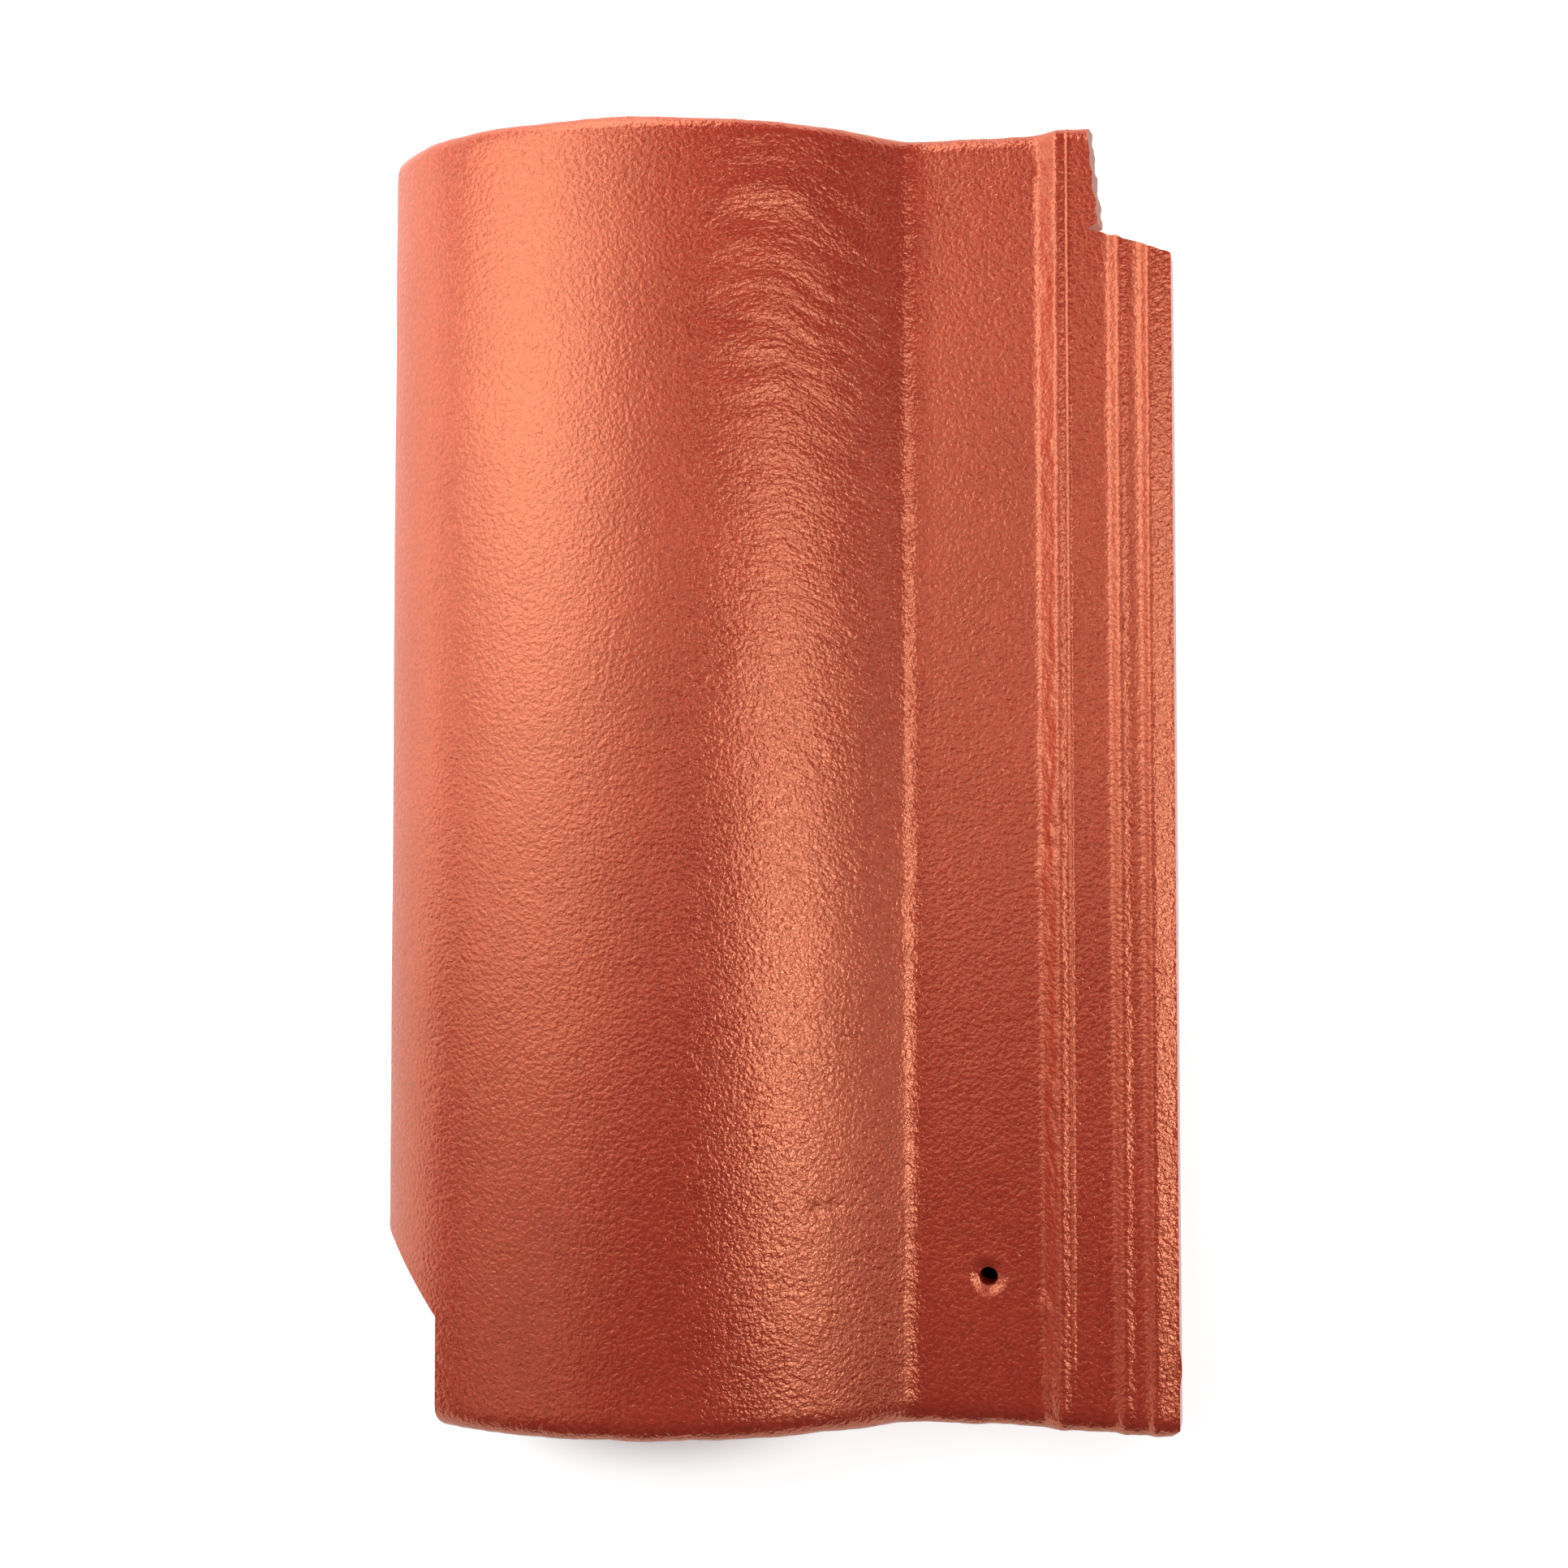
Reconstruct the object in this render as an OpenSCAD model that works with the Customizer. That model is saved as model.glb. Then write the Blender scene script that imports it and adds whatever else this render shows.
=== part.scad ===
// Interlocking roof tile with one roll and one pan, made as a single moulded and fired piece.
// X runs across the tile from the free edge of the roll to the side lock, Y runs up to the tail edge
// and Z points out of the weathered face. The tile is drawn as it lies on a level floor, weathered
// face up: the free edge and a weather bar touch at the tail, and a hanging nib touches at the head.

/* [Overall] */

// length of the tile between the tail edge and the head edge
tile_length = 420; // [360:1:460]
// thickness of the sheet, measured square to the weathered face
sheet_thickness = 11; // [9:0.5:13]

/* [Roll] */

// radius of the weathered face over the crown of the roll
roll_radius = 144; // [130:1:160]
// radius of the tighter shoulder between the crown and the free edge
shoulder_radius = 67; // [60:1:75]
// slope of the weathered face where the shoulder meets the crown, in degrees
shoulder_angle = 16.7; // [14:0.1:19]
// radius of the nose that turns the shoulder down into the free edge
nose_radius = 6; // [5.5:0.5:8]
// height of the straight face of the free edge below the nose
edge_height = 1.7; // [1:0.1:3]
// steepest slope of the flank between the crown and the pan, in degrees
flank_angle = 40.9; // [39:0.1:43]

/* [Pan] */

// radius of the hollow where the flank runs out into the pan
valley_radius = 8.4; // [6:0.2:12]
// width of the flat pan between the hollow and the side lock
pan_width = 40; // [36:0.5:45]
// rise of the pan towards the side lock, in degrees
pan_angle = 1.1; // [0:0.1:2.5]

/* [Side lock] */

// height of the first step above the pan
step_1_rise = 6; // [4.5:0.1:7]
// width over which the first step rises, and over which its far side falls
step_1_run = 4.5; // [3:0.1:6]
// fall from the top of the first step to the floor of the first channel
channel_1_fall = 0.9; // [0.4:0.1:1.5]
// width of the flat floor of the first channel
channel_1_width = 12.3; // [9:0.1:14]
// height of the second step above the floor of the first channel
step_2_rise = 2.3; // [1.5:0.1:3]
// width over which the second step rises
step_2_run = 4.2; // [3:0.1:6]
// depth to which the second channel is hollowed
channel_2_sag = 0.7; // [0.3:0.1:1.2]
// width of the second channel
channel_2_width = 6.8; // [5.5:0.1:8]
// height of the third step above the second
step_3_rise = 1.9; // [1:0.1:2.5]
// width over which the third step rises
step_3_run = 2; // [1.5:0.1:3]
// width of the outer lip
lip_width = 7.6; // [6:0.1:10]
// fall of the outer lip towards its edge
lip_fall = 1.8; // [0.5:0.1:2.5]
// distance by which the side face of the lip stands out at its foot
lip_draft = 1.2; // [0.4:0.1:2]
// thickness of the side lock under the first channel
lock_thickness = 10.5; // [9:0.5:12]

/* [Fit between neighbours] */

// side gap between the free edge and the first step of the neighbouring tile
side_gap = 3.5; // [2:0.5:5]
// gap between the free edge and the pan of the neighbouring tile
seat_gap = 0.8; // [0.4:0.1:1.5]
// gap between a cover rib and the floor of the channel it dips into
rib_gap = 1.6; // [1:0.1:2.5]
// width of a cover rib at its foot
rib_width = 4; // [3:0.5:5]
// widening of a cover rib towards the sheet, on each side
rib_draft = 1.2; // [0.5:0.1:2]
// distance of the ends of the cover ribs from the head and tail edges
rib_end_gap = 9; // [6:0.5:14]

/* [Rounded end edges] */

// length over which the weathered face rounds off at the head edge
head_edge_run = 8; // [5:0.5:10]
// depth by which the weathered face rounds off at the head edge
head_edge_drop = 5; // [2:0.5:5]
// length over which the weathered face rounds off at the tail edge
tail_edge_run = 5.5; // [3:0.5:8]
// depth by which the weathered face rounds off at the tail edge
tail_edge_drop = 4; // [1.5:0.5:5]

/* [Cropped corners] */

// width cropped off the roll at the head
head_crop_width = 23; // [18:0.5:27]
// length of the straight part of the crop at the head
head_crop_length = 35; // [28:1:45]
// length of the slanting part of the crop at the head
head_crop_slant = 25; // [18:1:32]
// radius of the outer corner beside the crop at the head
head_corner_radius = 5; // [3:0.5:8]
// width cropped off the side lock at the tail edge
tail_crop_width = 28; // [24:0.5:31]
// distance by which the side of the tail crop leans out towards its inner corner
tail_crop_lean = 3.5; // [1:0.5:5]
// length of the tail crop at its inner corner
tail_crop_length = 35; // [28:1:45]
// distance by which the tail crop lengthens towards the side face
tail_crop_slant = 9.5; // [4:0.5:14]

/* [Nail hole] */

// diameter of the nail hole
nail_hole_diameter = 6; // [4:0.1:7]
// distance of the nail hole from the head edge
nail_hole_from_head = 48; // [42:1:55]
// distance of the nail hole from the start of the pan
nail_hole_from_valley = 22; // [16:0.5:28]
// diameter of the shallow sink around the nail hole
sink_diameter = 13; // [10:0.5:16]
// depth of the shallow sink around the nail hole
sink_depth = 1.2; // [0.6:0.1:2]

/* [Hanging nibs] */

// depth of a hanging nib below the sheet of the pan
nib_depth = 18; // [14:0.5:22]
// width of a hanging nib
nib_width = 26; // [20:0.5:28]
// length of a hanging nib at the sheet
nib_length = 21; // [17:0.5:24]
// distance by which the back of a nib slopes in towards its foot
nib_draft = 5; // [2:0.5:7]
// distance of the bearing face of the nibs from the head edge
nib_face_from_head = 29; // [25:0.5:34]
// distance between the middles of the two nibs
nib_spacing = 54; // [48:0.5:60]
// distance of the middle of the first nib from the start of the pan
nib_from_valley = 8; // [6:0.5:12]

/* [Weather bars] */

// depth of a weather bar below the sheet
bar_depth = 4; // [2:0.5:5]
// length of a weather bar along the tile
bar_length = 7; // [5:0.5:10]
// distance of the first weather bar from the tail edge
bar_from_tail = 18; // [14:1:24]
// distance between the two weather bars
bar_spacing = 26; // [20:1:34]
// distance of the ends of the weather bars from the end of the pan
bar_end_gap = 4; // [2:0.5:8]
// slope of the roll at which the weather bars end, in degrees
bar_end_angle = 12; // [8:0.5:13.5]

/* [Hidden] */

// largest turn of a curved outline between two of its points, in degrees
turn_angle = 3;
// number of points on a step or a hollow of the side lock
lock_points = 8;
// number of strips around a rounded end edge
edge_strips = 5;
// number of sides on a round hole
hole_sides = 64;
// depth to which a joined form reaches into the sheet, and length by which a cut runs past it
root = 4;

// ends of the tile
tail = tile_length / 2;
head = -tile_length / 2;

// point at which a curve of radius r that starts at p with slope a has turned to slope b
// (a radius above zero bends down, a radius below zero bends up)
function bend(p, a, b, r) = [p.x + r * (sin(a) - sin(b)), p.y + r * (cos(b) - cos(a))];
// point at distance d below the weathered face at a point p with slope a
function below(p, a, d) = [p.x + d * sin(a), p.y - d * cos(a)];
// shares of a turn from slope a to slope b, after its start
function shares(a, b) =
    let (n = max(2, ceil(abs(b - a) / turn_angle)))
    [for (i = [1:n]) i / n];
// value at share f of the way from a to b
function mix(a, b, f) = a + (b - a) * f;
// share of the height of a smooth step at share f of its width
function ease(f) = (1 - cos(180 * f)) / 2;
// points along a smooth step after its start at p
function step(p, run, rise) =
    [for (i = [1:lock_points]) let (f = i / lock_points) p + [run * f, rise * ease(f)]];
// points along a hollow after its start at p
function hollow(p, width, sag) =
    [for (i = [1:lock_points]) let (f = i / lock_points) p + [width * f, -sag * sin(180 * f)]];

// points where the curves of the weathered face meet, measured from the crest of the roll
crown_end = bend([0, 0], 0, shoulder_angle, roll_radius);
shoulder_centre = below(crown_end, shoulder_angle, shoulder_radius);
flank_end = bend([0, 0], 0, -flank_angle, roll_radius);
valley_end = bend(flank_end, -flank_angle, pan_angle, -valley_radius);
pan_end = valley_end + pan_width * [cos(pan_angle), sin(pan_angle)];

// side lock, from the foot of the first step to the foot of the side face
step_1_top = pan_end + [step_1_run, step_1_rise];
channel_1_start = step_1_top + [step_1_run, -channel_1_fall];
channel_1_end = channel_1_start + [channel_1_width, 0];
step_2_top = channel_1_end + [step_2_run, step_2_rise];
channel_2_end = step_2_top + [channel_2_width, 0];
step_3_top = channel_2_end + [step_3_run, step_3_rise];
lip_end = step_3_top + [lip_width, -lip_fall];
lock_floor = channel_1_end.y - lock_thickness;
lip_foot = [lip_end.x + lip_draft, lock_floor];
lock_face = concat(
    step(pan_end, step_1_run, step_1_rise),
    step(step_1_top, step_1_run, -channel_1_fall),
    [channel_1_end],
    step(channel_1_end, step_2_run, step_2_rise),
    hollow(step_2_top, channel_2_width, channel_2_sag),
    step(channel_2_end, step_3_run, step_3_rise)
);

// free edge: its foot stands in the pan of the neighbouring tile, beside the first step, so the slope
// at which the shoulder turns into the nose follows from the height of that pan
inner_radius = shoulder_radius - sheet_thickness;
foot_floor = pan_end.y - side_gap * sin(pan_angle) + seat_gap;
edge_angle = acos((foot_floor + edge_height - shoulder_centre.y) / (shoulder_radius - nose_radius));
foot_angle = acos((foot_floor - shoulder_centre.y) / inner_radius);
shoulder_end = bend(crown_end, shoulder_angle, edge_angle, shoulder_radius);
nose_end = bend(shoulder_end, edge_angle, 90, nose_radius);
foot_outer = [nose_end.x, foot_floor];
foot_inner = [shoulder_centre.x - inner_radius * sin(foot_angle), foot_floor];
// distance from one tile to the next across the roof
cover_width = pan_end.x - side_gap - foot_inner.x;

// underside of the side lock at a place x
pan_root = below(pan_end, pan_angle, sheet_thickness);
function lock_underside(x) =
    let (f = (x - pan_root.x) / (channel_1_start.x - pan_root.x))
    mix(pan_root.y, lock_floor, ease(max(0, min(1, f))));

// stations across the tile: point of the weathered face, its slope, and the point of the underside
stations = concat(
    [[nose_end, 90, foot_outer]],
    [for (f = shares(90, edge_angle)) let (a = mix(90, edge_angle, f))
        [bend(nose_end, 90, a, nose_radius), a, mix(foot_outer, foot_inner, f)]],
    [for (f = shares(edge_angle, shoulder_angle))
        let (a = mix(edge_angle, shoulder_angle, f), b = mix(foot_angle, shoulder_angle, f))
        let (p = bend(shoulder_end, edge_angle, a, shoulder_radius))
        [p, a, bend(foot_inner, foot_angle, b, inner_radius)]],
    [for (f = shares(shoulder_angle, -flank_angle))
        let (a = mix(shoulder_angle, -flank_angle, f))
        let (p = bend(crown_end, shoulder_angle, a, roll_radius))
        [p, a, below(p, a, sheet_thickness)]],
    [for (f = shares(-flank_angle, pan_angle))
        let (a = mix(-flank_angle, pan_angle, f))
        let (p = bend(flank_end, -flank_angle, a, -valley_radius))
        [p, a, below(p, a, sheet_thickness)]],
    [[pan_end, pan_angle, pan_root]],
    [for (p = lock_face) [p, pan_angle, [p.x, lock_underside(p.x)]]],
    [[lip_end, pan_angle, lip_foot]]
);

// slices along the tile: place, and depth by which the weathered face is rounded off there
function edge_slice(end, run, drop, k) =
    let (a = 90 * k / edge_strips)
    [end + run * (1 - cos(a)), drop * (1 - sin(a))];
slices = concat(
    [for (k = [0:edge_strips]) edge_slice(tail, -tail_edge_run, tail_edge_drop, k)],
    [for (k = [edge_strips:-1:0]) edge_slice(head, head_edge_run, head_edge_drop, k)]
);

// height of the underside above a place x under the shoulder or the crown
crown_end_below = below(crown_end, shoulder_angle, sheet_thickness);
function underside_height(x) = x < crown_end_below.x
    ? shoulder_centre.y + sqrt(pow(inner_radius, 2) - pow(x - shoulder_centre.x, 2))
    : sqrt(pow(roll_radius - sheet_thickness, 2) - pow(x, 2)) - roll_radius;

// places and feet of the cover ribs, above the channels of the neighbouring tile
rib_1 = [channel_1_start.x + channel_1_width / 2 - cover_width, channel_1_end.y + rib_gap];
rib_2 = [step_2_top.x + channel_2_width / 2 - cover_width, step_2_top.y - channel_2_sag + rib_gap];

// nail hole and nibs
hole_centre = valley_end + nail_hole_from_valley * [cos(pan_angle), sin(pan_angle)];
nib_face = head + nib_face_from_head;
nib_1_x = valley_end.x + nib_from_valley;
nib_2_x = nib_1_x + nib_spacing;
pan_floor = valley_end.y - sheet_thickness;
nib_foot = pan_floor - nib_depth;

// points that touch a level floor: the free edge at the tail, the first weather bar where its hollow
// has slope s, and the inner corner of the first nib
bar_radius = valley_radius + sheet_thickness + bar_depth;
bar_start = below(valley_end, pan_angle, sheet_thickness + bar_depth);
touch_edge = [foot_outer.x, tail, foot_floor];
function touch_bar(s) =
    let (p = bend(bar_start, pan_angle, s, -bar_radius))
    [p.x, tail - bar_from_tail, p.y];
touch_nib = [nib_1_x - nib_width / 2, nib_face, nib_foot];

// slopes of the floor across and along the tile through those points
function floor_slopes(s) =
    let (u = touch_bar(s) - touch_edge, v = touch_nib - touch_edge, k = u.x * v.y - u.y * v.x)
    [(u.z * v.y - u.y * v.z) / k, (u.x * v.z - u.z * v.x) / k];
first_lean = atan(floor_slopes(0).x);
second_lean = atan(floor_slopes(first_lean).x);
floor_slope = floor_slopes(second_lean);
lean_across = atan(floor_slope.x);
lean_along = -atan(floor_slope.y * cos(lean_across));

// place of a point of the tile after the tile is laid on the floor
function laid(p) =
    let (x = p.x * cos(lean_across) + p.z * sin(lean_across))
    let (z = p.z * cos(lean_across) - p.x * sin(lean_across))
    [x, p.y * cos(lean_along) - z * sin(lean_along), p.y * sin(lean_along) + z * cos(lean_along)];
outer_points = [
    for (s = slices, t = stations, p = [below(t[0], t[1], s[1]), t[2]])
        laid([p.x, s[0], p.y])
];
across = [for (p = outer_points) p.x];
along = [for (p = outer_points) p.y];
middle = [(min(across) + max(across)) / 2, (min(along) + max(along)) / 2, laid(touch_edge).z];

// sheet of the tile, lofted through the slices, with its head and tail edges rounded off
module sheet() {
    n = len(stations);
    last = len(slices) - 1;
    points = [for (s = slices) each concat(
        [for (t = stations) let (p = below(t[0], t[1], s[1])) [p.x, s[0], p.y]],
        [for (t = stations) [t[2].x, s[0], t[2].y]]
    )];
    // corners of the four-sided faces: weathered face, underside, both sides, tail end and head end
    quads = concat(
        [for (s = [0:last - 1], i = [0:n - 2]) let (k = 2 * n * s + i)
            [k, k + 1, k + 2 * n + 1, k + 2 * n]],
        [for (s = [0:last - 1], i = [0:n - 2]) let (k = 2 * n * s + n + i)
            [k, k + 2 * n, k + 2 * n + 1, k + 1]],
        [for (s = [0:last - 1]) let (k = 2 * n * s) [k, k + 2 * n, k + 3 * n, k + n]],
        [for (s = [0:last - 1]) let (k = 2 * n * s + n - 1) [k + 2 * n, k, k + n, k + 3 * n]],
        [for (i = [0:n - 2]) [i + 1, i, i + n, i + n + 1]],
        [for (i = [0:n - 2]) let (k = 2 * n * last + i) [k, k + 1, k + n + 1, k + n]]
    );
    polyhedron(points, [for (q = quads, h = [1, 2]) [q[0], q[h], q[h + 1]]]);
}

// a flat form in the tile's section, drawn out along the tile from y towards the head
module drawn_out(y, length) {
    translate([0, y, 0])
        rotate([90, 0, 0])
            linear_extrude(length)
                children();
}

// rib under the roll that dips into a channel of the neighbouring tile
module cover_rib(place) {
    top = underside_height(place.x) + root;
    half_foot = rib_width / 2;
    half_top = half_foot + rib_draft;
    drawn_out(tail - rib_end_gap, tile_length - 2 * rib_end_gap)
        polygon([
            [place.x - half_foot, place.y],
            [place.x + half_foot, place.y],
            [place.x + half_top, top],
            [place.x - half_top, top]
        ]);
}

// line at depth d below the weathered face, across a weather bar
function bar_line(d) =
    let (start = pan_end - bar_end_gap * [cos(pan_angle), sin(pan_angle)])
    let (valley = below(valley_end, pan_angle, d), flank = below(flank_end, -flank_angle, d))
    concat(
        [below(start, pan_angle, d), valley],
        [for (f = shares(pan_angle, -flank_angle))
            bend(valley, pan_angle, mix(pan_angle, -flank_angle, f), -(valley_radius + d))],
        [for (f = shares(-flank_angle, bar_end_angle))
            bend(flank, -flank_angle, mix(-flank_angle, bar_end_angle, f), roll_radius - d)]
    );

// bar across the underside that stops driven rain
module weather_bar(y) {
    inner = bar_line(sheet_thickness - root);
    outer = bar_line(sheet_thickness + bar_depth);
    drawn_out(y, bar_length)
        polygon(concat(outer, [for (i = [len(inner) - 1:-1:0]) inner[i]]));
}

// nib that hangs on the batten, with its bearing face towards the tail
module nib(x, floor) {
    translate([x - nib_width / 2, 0, 0])
        rotate([90, 0, 90])
            linear_extrude(nib_width)
                polygon([
                    [nib_face, floor + root],
                    [nib_face, nib_foot],
                    [nib_face - nib_length + nib_draft, nib_foot],
                    [nib_face - nib_length, floor],
                    [nib_face - nib_length, floor + root]
                ]);
}

module nail_hole() {
    translate([hole_centre.x, head + nail_hole_from_head, hole_centre.y])
        rotate([0, -pan_angle, 0]) {
            translate([0, 0, -sheet_thickness - root])
                cylinder(h = sheet_thickness + 2 * root, d = nail_hole_diameter, $fn = hole_sides);
            translate([0, 0, -sink_depth])
                cylinder(
                    h = 2 * sink_depth,
                    d1 = nail_hole_diameter,
                    d2 = 2 * sink_diameter - nail_hole_diameter,
                    $fn = hole_sides
                );
        }
}

// a flat form in plan, cut right through the sheet
module cut_through() {
    translate([0, 0, nib_foot])
        linear_extrude(-nib_foot + root)
            children();
}

// corner cropped off the roll at the head
module head_crop() {
    side = nose_end.x + head_crop_width;
    corner = [side + head_corner_radius, head + head_corner_radius];
    run_out = head_crop_slant / head_crop_width;
    cut_through()
        polygon(concat(
            [[side, head + head_crop_length]],
            [for (f = concat([0], shares(180, 270))) let (a = mix(180, 270, f))
                corner + head_corner_radius * [cos(a), sin(a)]],
            [
                [corner.x, head - root],
                [nose_end.x - root, head - root],
                [nose_end.x - root, head + head_crop_length + head_crop_slant + root * run_out]
            ]
        ));
}

// corner cropped off the side lock at the tail
module tail_crop() {
    side = lip_foot.x - tail_crop_width;
    inner = [side + tail_crop_lean, tail - tail_crop_length];
    run_out = tail_crop_slant / (lip_foot.x - inner.x);
    cut_through()
        polygon([
            inner,
            [side - root * tail_crop_lean / tail_crop_length, tail + root],
            [lip_foot.x + root, tail + root],
            [lip_foot.x + root, inner.y - tail_crop_slant - root * run_out]
        ]);
}

module roof_tile() {
    color([0.72, 0.33, 0.24])
        translate(-middle)
            rotate([lean_along, 0, 0])
                rotate([0, lean_across, 0])
                    difference() {
                        union() {
                            sheet();
                            cover_rib(rib_1);
                            cover_rib(rib_2);
                            weather_bar(tail - bar_from_tail);
                            weather_bar(tail - bar_from_tail - bar_spacing);
                            nib(nib_1_x, pan_floor);
                            nib(nib_2_x, lock_floor);
                        }
                        head_crop();
                        tail_crop();
                        nail_hole();
                    }
}

roof_tile();
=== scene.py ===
import math

import bmesh
import bpy
import numpy as np
from mathutils import Euler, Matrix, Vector


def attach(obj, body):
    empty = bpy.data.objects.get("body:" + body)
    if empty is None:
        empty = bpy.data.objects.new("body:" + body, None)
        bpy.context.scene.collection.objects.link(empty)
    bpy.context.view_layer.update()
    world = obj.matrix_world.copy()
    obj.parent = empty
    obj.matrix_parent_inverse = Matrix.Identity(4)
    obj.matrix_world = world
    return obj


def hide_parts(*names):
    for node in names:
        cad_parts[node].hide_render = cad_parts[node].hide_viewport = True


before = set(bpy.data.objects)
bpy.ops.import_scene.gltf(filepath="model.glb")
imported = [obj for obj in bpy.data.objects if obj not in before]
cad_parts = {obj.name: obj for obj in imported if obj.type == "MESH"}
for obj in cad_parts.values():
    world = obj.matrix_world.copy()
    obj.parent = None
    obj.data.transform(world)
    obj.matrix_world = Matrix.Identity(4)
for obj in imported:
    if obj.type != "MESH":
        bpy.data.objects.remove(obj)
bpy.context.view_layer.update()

# Sizes of the tile in millimetres, the same values as in the part's source.
LENGTH, THICK = 420.0, 11.0
ROLL_R, SHOULDER_R, NOSE_R = 144.0, 67.0, 6.0
SHOULDER_A, FLANK_A, PAN_A = 16.7, 40.9, 1.1
EDGE_H = 1.7
VALLEY_R, PAN_W = 8.4, 40.0
STEP_1_RISE, STEP_1_RUN = 6.0, 4.5
CHANNEL_1_FALL, CHANNEL_1_W = 0.9, 12.3
STEP_2_RISE, STEP_2_RUN = 2.3, 4.2
CHANNEL_2_SAG, CHANNEL_2_W = 0.7, 6.8
STEP_3_RISE, STEP_3_RUN = 1.9, 2.0
LIP_W, LIP_FALL, LIP_DRAFT = 7.6, 1.8, 1.2
LOCK_THICK = 10.5
SIDE_GAP, SEAT_GAP = 3.5, 0.8
RIB_GAP, RIB_W, RIB_DRAFT, RIB_END = 1.6, 4.0, 1.2, 9.0
HEAD_RUN, HEAD_DROP, TAIL_RUN, TAIL_DROP = 8.0, 5.0, 5.5, 4.0
HEAD_CROP_W, HEAD_CROP_L, HEAD_CROP_SLANT, HEAD_CORNER_R = 23.0, 35.0, 25.0, 5.0
TAIL_CROP_W, TAIL_CROP_LEAN, TAIL_CROP_L, TAIL_CROP_SLANT = 28.0, 3.5, 35.0, 9.5
HOLE_D, HOLE_FROM_HEAD, HOLE_FROM_VALLEY = 6.0, 48.0, 22.0
SINK_D, SINK_DEPTH = 13.0, 1.2
NIB_DEPTH, NIB_W, NIB_L, NIB_DRAFT = 18.0, 26.0, 21.0, 5.0
NIB_FROM_HEAD, NIB_SPACING, NIB_FROM_VALLEY = 29.0, 54.0, 8.0
BAR_DEPTH, BAR_L, BAR_FROM_TAIL, BAR_SPACING = 4.0, 7.0, 18.0, 26.0
BAR_END_GAP, BAR_END_A = 4.0, 12.0
TAIL, HEAD = LENGTH / 2, -LENGTH / 2
# Lean of the tile on the floor, in degrees, and the middle of its outline.
LEAN_ACROSS, LEAN_ALONG = -5.13531, -2.19267
MIDDLE = np.array([56.0916, -0.87854, -50.4753])

# Reach of an added piece into the sheet, and of a cutter past the nibs and the crown.
ROOT = 4.0
CUTTER_PAST_NIB, CUTTER_TOP = 6.0, ROOT + 4
# Rounding of the edges of the ribs, bars and nibs, and the sharpest fold shaded smooth, in degrees.
RIB_ROUND, BAR_ROUND, NIB_ROUND = 0.7, 1.2, 1.6
SMOOTH_FOLD = 42

# Parts that each curve is divided into.
NOSE_PARTS, SHOULDER_PARTS, CROWN_PARTS, VALLEY_PARTS = 10, 28, 88, 12
STEP_1_PARTS, STEP_2_PARTS, CHANNEL_2_PARTS, STEP_3_PARTS, LIP_PARTS = 9, 8, 11, 5, 13
BAR_VALLEY_PARTS, BAR_ROLL_PARTS, CORNER_PARTS, HOLE_PARTS = 14, 18, 12, 40
# Stretches with finer parts by the nail hole and the raised line: start, end and parts.
PAN_STRETCHES = ((0, 14, 10), (14, 30, 30), (30, PAN_W, 10))
STEP_1_FALL_STRETCHES = ((0, 0.72, 5), (0.72, 1, 5))
CHANNEL_1_STRETCHES = ((0, 0.1, 5), (0.1, 1, 13))
# Rows along the tile: parts of the rounded ends, and spacing, closer within reach of the nail hole.
TAIL_PARTS, HEAD_PARTS = 10, 12
ROW_STEP, HOLE_ROW_STEP, HOLE_REACH = 1.5, 0.56, 9.5
# The underside has one point for this many of the weathered face.
UNDERSIDE_EVERY = 4

# Relief of the skin in millimetres: heights, then widths and places.
BROAD_H, MIDDLING_H, DRAG_H, WRINKLE_H = 0.16, 0.07, 0.14, 0.34
CREASE_H, SCALLOP_H, CREASE_W = 0.7, 0.16, 4.2
TEAR_H, TEAR_W, TEAR_FROM_PAN = 0.4, 2.6, 2.8
LINE_H, LINE_VARIES, LINE_W, LINE_FROM_STEP = 0.42, 0.08, 0.5, 0.2
RIM_H, RIM_W, RIM_FROM_SINK, SINK_LIP = 0.09, 1.6, 0.4, 0.6
BURR_H, BURR_W, BURR_Y = 0.7, 4.5, -187.5
RAGGED_H, RAGGED_FINE_H, RAGGED_REACH = 0.35, 0.15, 7.0
# Wear of the lock: depth, softness, and how far its ramp and its start lie from the plain step.
LOCK_WEAR, WEAR_BLUR, WEAR_FOOT, WEAR_CREST, WEAR_STARTS = 1.6, 0.75, 0.6, 0.9, 6.0
# Where the drag of the mould shows across and along the tile, and how strongly.
FLANK_STARTS, FLANK_ENDS, PAN_STARTS = (15, 50), (86, 94), (94, 100)
BEFORE_LOCK, INTO_LOCK = 4, 2
DRAG_GROWS, WRINKLES_GROW, LINE_GROWS, END_FADE = (-60, 130), (60, 170), (-205, -170), 16
DRAG_LEAST, DRAG_FLANK, DRAG_PAN, DRAG_LOCK, DRAG_SWAY = 0.22, 0.78, 0.12, 0.2, 3.0
# Pits, dents and torn lumps of the skin: place, half widths and height.
MARKS = (
    (68.6, -138.8, 1.6, 1.5, -0.7),
    (74.3, -138.2, 1.7, 1.5, -0.7),
    (-54.1, 60.8, 1.5, 1.4, -0.35),
    (-67.8, -59.8, 1.4, 1.4, -0.35),
    (140.9, 196.8, 2.2, 3.0, -0.9),
    (141.4, -32.2, 2.4, 4.0, 0.55),
    (140.4, -171.0, 2.4, 4.0, 0.6),
    (56.0, 178.0, 13.0, 3.2, -0.5),
    (58.0, 186.0, 15.0, 4.0, 0.35),
)
# Chipped corners: outlines of their cutters, from the corner.
TAIL_LEFT_CHIP = ((-4, 4), (2.6, 4), (2.0, -1), (0.2, -9), (-4, -11))
HEAD_RIGHT_CHIP = ((5, -4), (-4, -4), (-3.5, -0.2), (0.1, 2.8), (5, 4))
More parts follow.
